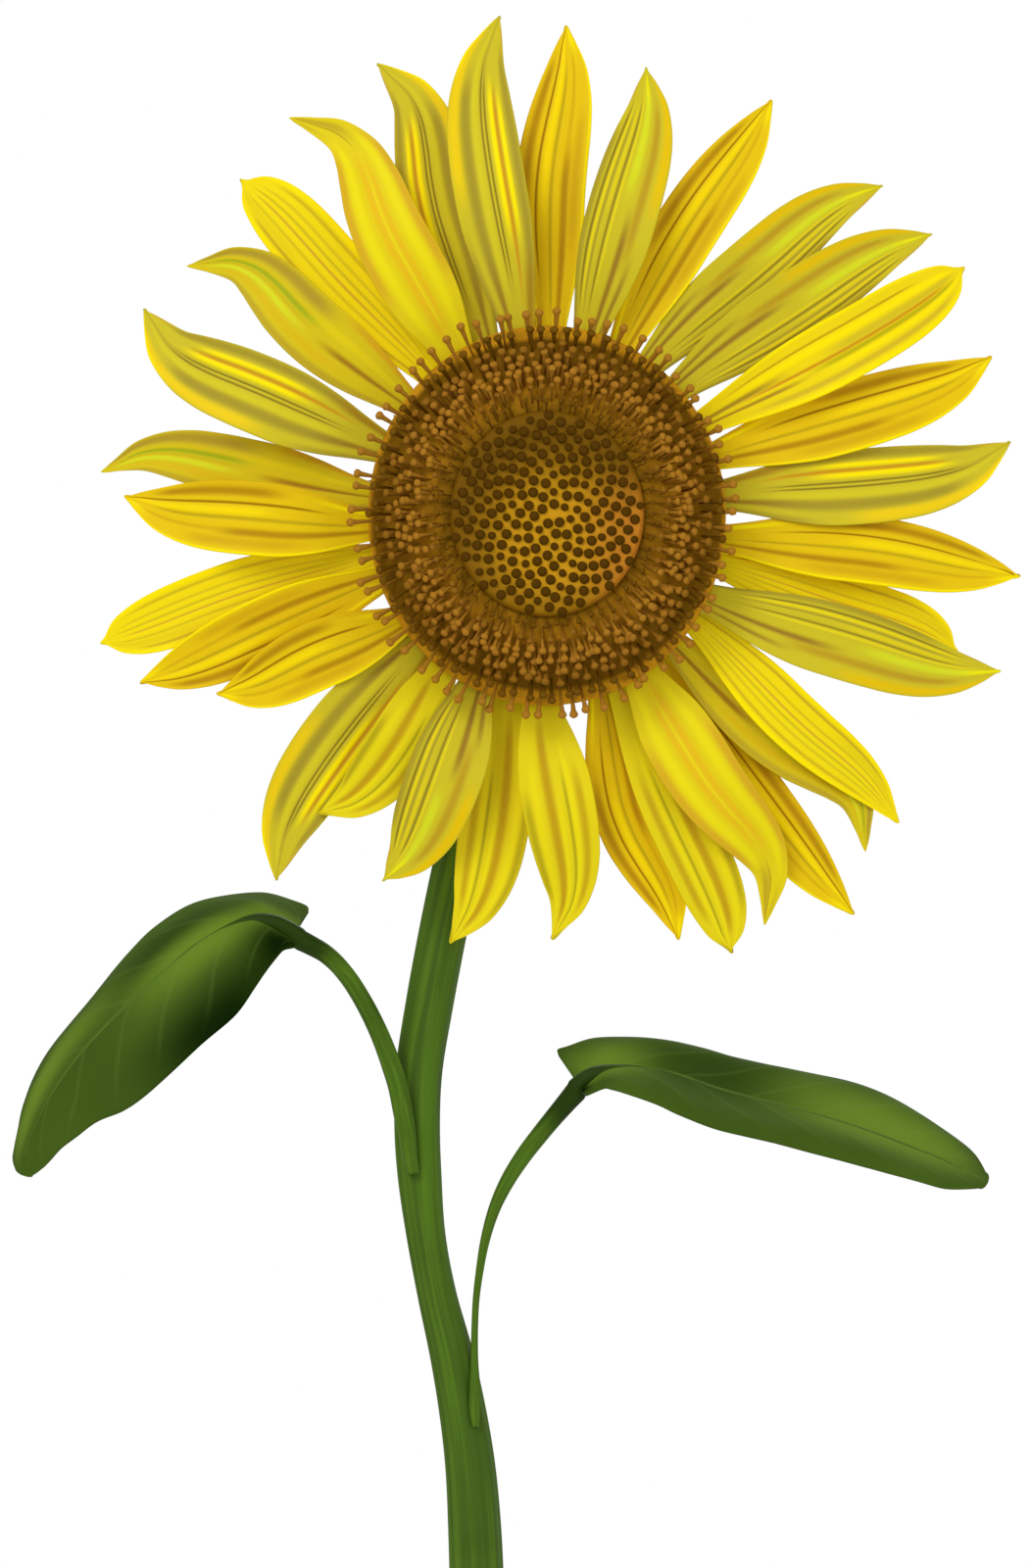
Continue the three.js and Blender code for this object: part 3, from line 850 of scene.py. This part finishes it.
cushion_rings, _ = walked_rings("bud_cushion", LATHE_SIDES, Vector((HEAD.x, RIM_PLANE, HEAD.z)))
cushion_rings = ring_order(cushion_rings, (1, 0, 0))
cushion_front = front_height(cushion_rings)
cushion_surface = tube_point(cushion_rings)
cushion_middle = cushion_rings[:, :, 1].mean()


def sunk_mat(along, around):
    spots = cushion_surface(along, around)
    spots[spots[:, 1] < cushion_middle, 1] += BUD_PROUD
    return spots


put_piece("bud_mat", closed_tube(48, 144, sunk_mat), mat_skin(), "bud_cushion")

rng = np.random.default_rng(7)
bud_template = turned_template("bud_template", BUD_SIDES, BUD_PROFILE)
bud_places = {"buds_large": [], "buds_small": []}
for count in range(1, int((BUD_ZONE / BUD_SPACING) ** 2)):
    radius = BUD_SPACING * math.sqrt(count) + rng.normal(0, 0.00006)
    turn = count * GOLDEN_ANGLE + rng.normal(0, 0.008)
    small = rng.random() < SMALL_BUD_SHARE
    width = BUD_RADIUS_SMALL if small else BUD_RADIUS
    spot = head_point(radius, turn, cushion_front(radius))
    facing = Vector((spot.x - HEAD.x, -0.10, spot.z - HEAD.z))
    upright = facing.to_track_quat("Z", "Y").to_matrix().to_4x4()
    size = Matrix.Diagonal((width, width, BUD_DEPTH, 1.0))
    bud_places["buds_small" if small else "buds_large"].append(Matrix.Translation(spot) @ upright @ size)
bud_material = floret_skin("closed_bud", hue(82, 53, 0))
for name, places in bud_places.items():
    put_piece(name, planted(bud_template, places), bud_material, None)

# ---- Open florets ----
# Round the middle the florets are open. Each stands on the disc by a thin stalk that widens to a round
# head. It leans outwards, the more the nearer it is to the rim, and the last ones reach over the rim.
FLORET_SIDES = 7
# Each pair is a radius, as a share of the head's, and a height, as a share of the length.
FLORET_STALK = ((0.12, -0.08), (0.34, 0.35), (0.58, 0.76), (0.64, 0.81))
FLORET_HEAD = ((1.0, 0.88), (0.97, 0.95), (0.55, 1.0))
FLORET_COLOURS = {
    "light": hue(170, 118, 32),
    "tan": hue(160, 110, 30),
    "umber": hue(142, 96, 22),
    "darkest": hue(112, 76, 8),
}
# Each zone has the first and last radius of its roots, the spacing of the roots, how far out the heads
# reach from them, the length, the radius of the head and the colour.
FLORET_ZONES = (
    (0.0258, 0.0278, 0.0028, 0.0038, 0.0052, 0.00080, "darkest"),
    (0.0272, 0.0312, 0.0028, 0.0052, 0.0068, 0.00092, "umber"),
    (0.0300, 0.0345, 0.0028, 0.0062, 0.0078, 0.00108, "light"),
    (0.0330, 0.0378, 0.0030, 0.0064, 0.0079, 0.00114, "tan"),
    (0.0368, 0.0412, 0.0032, 0.0066, 0.0081, 0.00120, "umber"),
    (0.0408, 0.0456, 0.0033, 0.0064, 0.0080, 0.00124, "darkest"),
    (0.0436, 0.0474, 0.0040, 0.0092, 0.0106, 0.00122, "light"),
)
LEFT_REACH = 0.0016  # the last ones reach this much further on the left and less on the right
disc_front = front_height(disc_rings)
floret_template = turned_template("floret_template", FLORET_SIDES, FLORET_STALK + FLORET_HEAD)
floret_places = {colour: [] for colour in FLORET_COLOURS}
for first, last, spacing, reach, length, head_radius, colour in FLORET_ZONES:
    rows = max(1, round((last - first) / spacing))
    for row in range(rows):
        radius = first + (row + 0.5) * (last - first) / rows
        count = round(2 * math.pi * radius / spacing)
        for number in range(count):
            turn = 2 * math.pi * (number + 0.5 * (row % 2) + rng.normal(0, 0.16)) / count
            root_radius = radius + rng.normal(0, 0.0005)
            root = head_point(root_radius, turn, disc_front(root_radius))
            own_length = length * rng.uniform(0.92, 1.06)
            own_reach = reach * rng.uniform(0.86, 1.12)
            if reach > 0.008:
                own_reach -= LEFT_REACH * math.cos(turn)
            own_reach = min(own_reach, 0.98 * own_length)
            outward = head_point(RIM_RADIUS, turn + rng.normal(0, 0.05), 0) - head_point(0, turn, 0)
            rise = math.sqrt(own_length**2 - own_reach**2)
            lean = outward.normalized() * own_reach + Vector((0, -rise, 0))
            upright = lean.to_track_quat("Z", "Y").to_matrix().to_4x4()
            size = Matrix.Diagonal((head_radius, head_radius, own_length, 1.0))
            floret_places[colour].append(Matrix.Translation(root) @ upright @ size)
for colour, places in floret_places.items():
    material = floret_skin("floret_" + colour, FLORET_COLOURS[colour])
    put_piece("florets_" + colour, planted(floret_template, places), material, "floret_ring")

# ---- Ray florets ----
# The yellow rays are thin blades, folded a little along their streaks: the dark streaks are painted shade in
# shallow grooves and the bright ones painted highlights on ridges, over the rays' own hues. There are eight
# patterns of streaks, some of them mirrored.
# Partly the rays' own hues, partly painted highlights and painted shade over their ridges, grooves and foot.
HIGHLIGHT_YELLOW = hue(255, 232, 0)
SUNNY = hue(242, 218, 14)
GOLDEN = hue(222, 180, 14)
SHADE_GOLD = hue(184, 140, 8)
SHADE_LINE_GOLD = hue(160, 116, 0)
OLIVE = hue(168, 150, 42)
SHADE_LINE_OLIVE = hue(130, 110, 28)
TAN = hue(205, 176, 38)
FOOT_SHADE_BROWN = hue(152, 112, 36)
LIME = hue(216, 220, 34)
GREEN = hue(164, 174, 22)
ORANGE = hue(206, 138, 24)
RUDDY = hue(206, 152, 52)
# Each kind has its ground colour, then its streaks from the first painted to the last: the place across
# from -1 to 1, the half width, the shares of the length between which it shows, strength and colour. The
# streaks are partly the ray's own hues and partly painted shade in grooves, at the foot and at the tip, and
# painted highlights on ridges and edges.
RAY_KINDS = {
    "olive": (
        hue(206, 190, 38),
        (-0.80, 0.30, 0.28, 0.90, 1.0, hue(240, 205, 20)),
        (-0.95, 0.16, 0.60, 1.00, 1.0, HIGHLIGHT_YELLOW),
        (-0.95, 0.22, -0.1, 0.32, 0.8, OLIVE),
        (-0.45, 0.30, 0.05, 0.74, 1.0, OLIVE),
        (-0.45, 0.20, -0.1, 0.25, 0.8, FOOT_SHADE_BROWN),
        (-0.18, 0.18, 0.05, 0.92, 0.8, hue(216, 202, 36)),
        (0.06, 0.16, 0.50, 1.00, 0.5, OLIVE),
        (0.02, 0.055, 0.08, 0.78, 0.9, SHADE_LINE_OLIVE),
        (0.14, 0.055, 0.08, 0.74, 0.9, SHADE_LINE_OLIVE),
        (0.34, 0.15, 0.18, 0.72, 1.0, HIGHLIGHT_YELLOW),
        (0.46, 0.10, 0.06, 0.70, 0.8, ORANGE),
        (0.60, 0.12, 0.18, 0.68, 1.0, HIGHLIGHT_YELLOW),
        (0.86, 0.24, 0.05, 0.85, 1.0, OLIVE),
        (0.80, 0.34, -0.1, 0.26, 0.8, hue(164, 120, 24)),
        (0.92, 0.20, 0.72, 0.95, 0.7, RUDDY),
        (0.03, 0.10, 0.82, 1.10, 0.8, SHADE_LINE_OLIVE),
    ),
    "gold": (
        hue(232, 196, 12),
        (-0.95, 0.20, -0.1, 0.70, 0.7, GOLDEN),
        (-0.72, 0.24, 0.22, 0.82, 1.0, SHADE_GOLD),
        (-0.74, 0.16, -0.1, 0.24, 1.0, HIGHLIGHT_YELLOW),
        (-0.40, 0.07, 0.10, 1.10, 1.0, SHADE_LINE_GOLD),
        (-0.18, 0.20, 0.25, 1.10, 1.0, hue(248, 218, 4)),
        (0.02, 0.10, 0.00, 0.80, 0.9, hue(190, 164, 14)),
        (0.40, 0.20, -0.1, 0.55, 1.0, SHADE_GOLD),
        (0.36, 0.12, 0.40, 0.90, 0.7, hue(206, 168, 12)),
        (0.68, 0.24, 0.15, 0.66, 0.8, hue(210, 168, 14)),
        (0.55, 0.55, 0.72, 1.10, 0.9, HIGHLIGHT_YELLOW),
        (0.98, 0.12, -0.1, 1.10, 1.0, HIGHLIGHT_YELLOW),
        (-0.36, 0.09, 0.80, 1.10, 1.0, SHADE_LINE_GOLD),
    ),
    "lime": (
        hue(206, 190, 36),
        (-0.95, 0.18, -0.1, 0.70, 0.9, OLIVE),
        (-0.76, 0.07, 0.05, 0.80, 0.9, SHADE_LINE_OLIVE),
        (-0.66, 0.05, 0.05, 0.80, 0.9, SUNNY),
        (-0.56, 0.06, 0.05, 0.75, 0.9, OLIVE),
        (-0.44, 0.08, 0.30, 0.80, 0.6, SUNNY),
        (-0.32, 0.07, 0.05, 0.80, 0.8, SHADE_LINE_OLIVE),
        (-0.22, 0.06, 0.10, 0.90, 0.9, hue(232, 212, 26)),
        (0.02, 0.24, 0.36, 0.94, 1.0, LIME),
        (0.06, 0.22, 0.68, 1.10, 1.0, hue(240, 230, 8)),
        (0.22, 0.18, -0.1, 0.42, 0.9, FOOT_SHADE_BROWN),
        (0.44, 0.22, 0.18, 0.80, 0.9, hue(188, 152, 32)),
        (0.62, 0.16, -0.1, 0.30, 0.8, FOOT_SHADE_BROWN),
        (0.82, 0.26, 0.32, 0.92, 1.0, hue(230, 192, 4)),
        (-0.95, 0.16, 0.68, 0.92, 0.7, RUDDY),
        (-0.40, 0.30, 0.93, 1.10, 0.7, SHADE_LINE_OLIVE),
    ),
    "amber": (
        hue(242, 216, 14),
        (-0.60, 0.06, 0.05, 0.75, 0.8, SHADE_GOLD),
        (-0.40, 0.22, 0.05, 0.92, 1.0, HIGHLIGHT_YELLOW),
        (-0.10, 0.22, 0.30, 0.92, 0.9, hue(212, 188, 34)),
        (-0.10, 0.20, -0.1, 0.30, 0.8, FOOT_SHADE_BROWN),
        (0.20, 0.14, 0.25, 0.90, 0.9, hue(184, 172, 12)),
        (0.06, 0.09, 0.08, 0.85, 0.9, ORANGE),
        (0.30, 0.12, -0.1, 0.35, 0.8, FOOT_SHADE_BROWN),
        (0.40, 0.14, 0.30, 1.10, 0.9, HIGHLIGHT_YELLOW),
        (0.66, 0.16, 0.10, 0.85, 0.8, TAN),
        (0.94, 0.18, -0.1, 1.10, 1.0, HIGHLIGHT_YELLOW),
        (-0.96, 0.14, -0.1, 1.10, 1.0, HIGHLIGHT_YELLOW),
    ),
    "lemon": (
        hue(244, 220, 12),
        (-0.55, 0.26, 0.45, 0.95, 0.7, hue(226, 202, 20)),
        (-0.74, 0.10, -0.1, 0.80, 0.9, hue(198, 168, 30)),
        (-0.34, 0.09, 0.00, 0.90, 0.7, hue(204, 182, 26)),
        (-0.08, 0.07, 0.00, 0.86, 0.9, hue(208, 164, 42)),
        (0.14, 0.08, 0.05, 0.90, 0.8, hue(200, 180, 28)),
        (0.38, 0.09, 0.00, 0.86, 0.7, hue(208, 186, 30)),
        (0.70, 0.11, 0.00, 0.80, 0.8, hue(202, 176, 26)),
        (0.92, 0.16, 0.10, 1.10, 1.0, HIGHLIGHT_YELLOW),
        (-0.94, 0.12, 0.10, 1.10, 1.0, HIGHLIGHT_YELLOW),
        (-0.55, 0.12, 0.92, 1.10, 0.8, SHADE_LINE_OLIVE),
        (-0.10, 0.12, 0.92, 1.10, 0.8, SHADE_LINE_OLIVE),
        (0.40, 0.12, 0.93, 1.10, 0.8, SHADE_LINE_OLIVE),
    ),
    "green": (
        hue(216, 194, 24),
        (-0.72, 0.40, 0.28, 0.95, 1.0, hue(178, 152, 42)),
        (-0.90, 0.24, -0.1, 0.36, 0.9, hue(216, 164, 28)),
        (-0.34, 0.24, -0.1, 0.45, 0.9, hue(228, 206, 20)),
        (-0.20, 0.18, 0.30, 0.92, 1.0, GREEN),
        (-0.02, 0.08, 0.30, 0.90, 0.8, hue(200, 178, 18)),
        (0.18, 0.16, 0.34, 0.90, 1.0, LIME),
        (0.16, 0.20, -0.1, 0.38, 1.0, hue(166, 122, 26)),
        (0.50, 0.22, 0.15, 0.85, 0.8, hue(220, 186, 18)),
        (0.88, 0.22, -0.1, 0.85, 0.8, hue(186, 160, 40)),
        (0.42, 0.30, 0.82, 0.98, 0.9, SUNNY),
        (0.00, 1.00, 0.93, 1.10, 0.7, hue(160, 126, 10)),
    ),
    "smooth": (
        hue(228, 206, 22),
        (-0.90, 0.24, 0.15, 0.74, 0.9, hue(214, 168, 34)),
        (0.90, 0.24, 0.15, 0.74, 0.9, hue(214, 168, 34)),
        (-0.54, 0.26, 0.00, 0.78, 0.9, hue(238, 222, 18)),
        (0.54, 0.26, 0.00, 0.78, 0.9, hue(238, 222, 18)),
        (-0.12, 0.20, 0.00, 0.70, 0.9, hue(232, 188, 26)),
        (0.16, 0.16, 0.05, 0.66, 0.9, hue(232, 188, 26)),
        (0.02, 0.05, 0.05, 0.62, 0.8, hue(240, 216, 26)),
        (0.35, 0.50, 0.62, 1.00, 0.9, hue(190, 164, 34)),
        (-0.60, 0.40, 0.70, 1.00, 0.7, hue(196, 174, 30)),
        (0.05, 0.06, 0.60, 1.10, 0.9, hue(160, 130, 34)),
    ),
    "ochre": (
        hue(230, 210, 22),
        (0.22, 0.26, 0.05, 0.88, 0.9, hue(192, 152, 20)),
        (-0.24, 0.09, 0.20, 0.94, 0.9, hue(176, 164, 20)),
        (-0.38, 0.12, 0.10, 0.96, 0.9, hue(240, 222, 18)),
        (-0.62, 0.20, 0.20, 0.80, 0.8, hue(194, 158, 20)),
        (0.00, 0.12, 0.30, 1.10, 0.9, hue(238, 220, 18)),
        (0.60, 0.16, 0.15, 1.00, 0.8, hue(238, 220, 18)),
        (0.86, 0.20, 0.25, 0.80, 0.9, hue(184, 166, 20)),
        (-0.80, 0.34, 0.80, 1.10, 0.9, hue(168, 148, 12)),
        (0.30, 0.10, 0.80, 1.10, 0.8, hue(176, 150, 24)),
    ),
}
# How far a ray is set back to clear the neighbour that it would cut. A minus sign brings it forward.
RAY_SET_BACK = {"ray_05": 0.0005, "ray_10": 0.0005, "ray_23": 0.0015, "ray_24": -0.0012}
# The kind of each ray, clockwise from the upper left. A minus sign mirrors its pattern.
RAY_PATTERNS = (
    "-olive olive gold lime gold -lime -lime amber gold -olive gold lemon lime lemon green gold smooth "
    "-ochre -gold ochre -ochre -lime ochre -olive -gold gold lemon -gold -green olive -green lemon smooth"
).split()
STREAK_FADE = 0.16  # a streak comes in and goes out over this share of the length
RAY_RELIEF = 0.0011  # how far a groove or ridge stands off, for a full step of brightness
RAY_THICKNESS = 0.0005
RAY_GRID = (72, 40)
RAY_FOOT = 0.042  # how far from the head's middle the rays start


def ray_skin(name, ground, streaks):
    """Satin yellow with lengthwise streaks of painted shade and painted highlight over the ray's own hues,
    and fine fibres.
    """
    material, pen, body = finish_material("ray_" + name, roughness=0.5)
    body.inputs["Specular IOR Level"].default_value = 0.06
    along, across = along_across(pen)
    side = across * 2 - 1
    colour = ground
    # Each streak is painted shade or a painted highlight, partly also the ray's own hue.
    for place, half_width, start, end, strength, streak in streaks:
        beside = (side - place).size().ramp(half_width, 0.0)
        inside = along.ramp(start, start + STREAK_FADE) * along.ramp(end, end - STREAK_FADE)
        colour = (beside * inside * strength).tint(colour, streak)
    spot = pen.make("CombineXYZ", None, {0: along * 6, 1: across * 60, 2: 0.0})
    fibre = pen.make("TexNoise", None, {"Vector": spot, "Scale": 1.0, "Detail": 2.0})
    colour = (fibre.ramp(0.5, 0.85) * 0.14).tint(colour, hue(196, 160, 20))
    feed(body, "Base Color", colour)
    roughen(pen, body, 0.2, 0.0003, fibre)
    return material


def brightness(colour):
    return 0.25 * colour[0] ** 0.45 + 0.75 * colour[1] ** 0.45


def streaked(base, ground, streaks, mirrored):
    """The blade's surface with its grooves and ridges under the streaks."""

    def place(along, across):
        spots = base(along, across)
        facing = surface_normals(base, along, across)
        side = (2 * across - 1) * (-1 if mirrored else 1)
        relief = np.zeros(len(along))
        for middle, half_width, start, end, strength, colour in streaks:
            beside = soft_step(np.abs(side - middle), half_width, 0.0)
            inside = soft_step(along, start, start + STREAK_FADE) * soft_step(along, end, end - STREAK_FADE)
            step = brightness(colour) - brightness(ground)
            wide = min(1.0, half_width / 0.1)
            relief += (step * RAY_RELIEF * wide - relief) * beside * inside * strength
        relief *= soft_step(along, 1.0, 0.9) * soft_step(along, 0.0, 0.05)
        return spots + facing * relief[:, None]

    return place


ray_materials = {}
for name, (ground, *streaks) in RAY_KINDS.items():
    ray_materials[name] = ray_skin(name, ground, streaks)
ray_nodes = sorted(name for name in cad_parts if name.startswith("ray_"))
for node, pattern in zip(ray_nodes, RAY_PATTERNS):
    mirrored = pattern.startswith("-")
    kind = pattern.lstrip("-")
    ground, *streaks = RAY_KINDS[kind]
    rows = head_blade_rows(node, RAY_FOOT, 0.5)
    rows[:, :, 1] += RAY_SET_BACK.get(node, 0.0)
    surface = streaked(blade_point(rows, BLADE_STATIONS), ground, streaks, mirrored)
    form = laid_grid(*RAY_GRID, surface)
    if mirrored:
        grain = form.loops.layers.uv["grain"]
        for face in form.faces:
            for loop in face.loops:
                loop[grain].uv.y = 1 - loop[grain].uv.y
    put_piece(node + "_petal", thickened(form, RAY_THICKNESS), ray_materials[kind], node)
